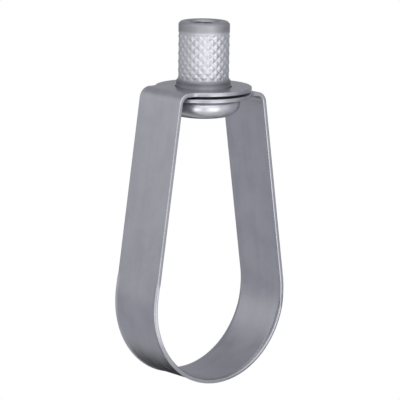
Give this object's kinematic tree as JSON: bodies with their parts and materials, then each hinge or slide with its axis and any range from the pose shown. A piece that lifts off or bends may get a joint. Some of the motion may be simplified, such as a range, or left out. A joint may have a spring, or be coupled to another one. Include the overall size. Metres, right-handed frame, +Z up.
{
  "type": "swivel ring hanger",
  "caption": "Teardrop strip hanger that carries a pipe in its ring and turns on a tapped, knurled nut screwed to a threaded rod.",
  "frame": {"origin": "centre of the pipe ring, half way across the strip", "axes": "+Z up the threaded rod, Y along the pipe, -X towards the leg that ends in the upper eye"},
  "size_m": [0.053, 0.03, 0.1127],
  "materials": {
    "galvanised_strip": "hot-dip galvanised sheet, satin, slightly blue grey",
    "zinc_plated_nut": "bright zinc plate on turned steel"
  },
  "bodies": {
    "nut": {"swivel_nut": "zinc_plated_nut"},
    "strip": {"band": "galvanised_strip"}
  },
  "joints": [
    {"name": "band_swivel", "type": "hinge", "parent": "nut", "child": "strip", "pos_m": [0, 0, 0.06345], "axis": [0, 0, 1], "continuous": true}
  ]
}
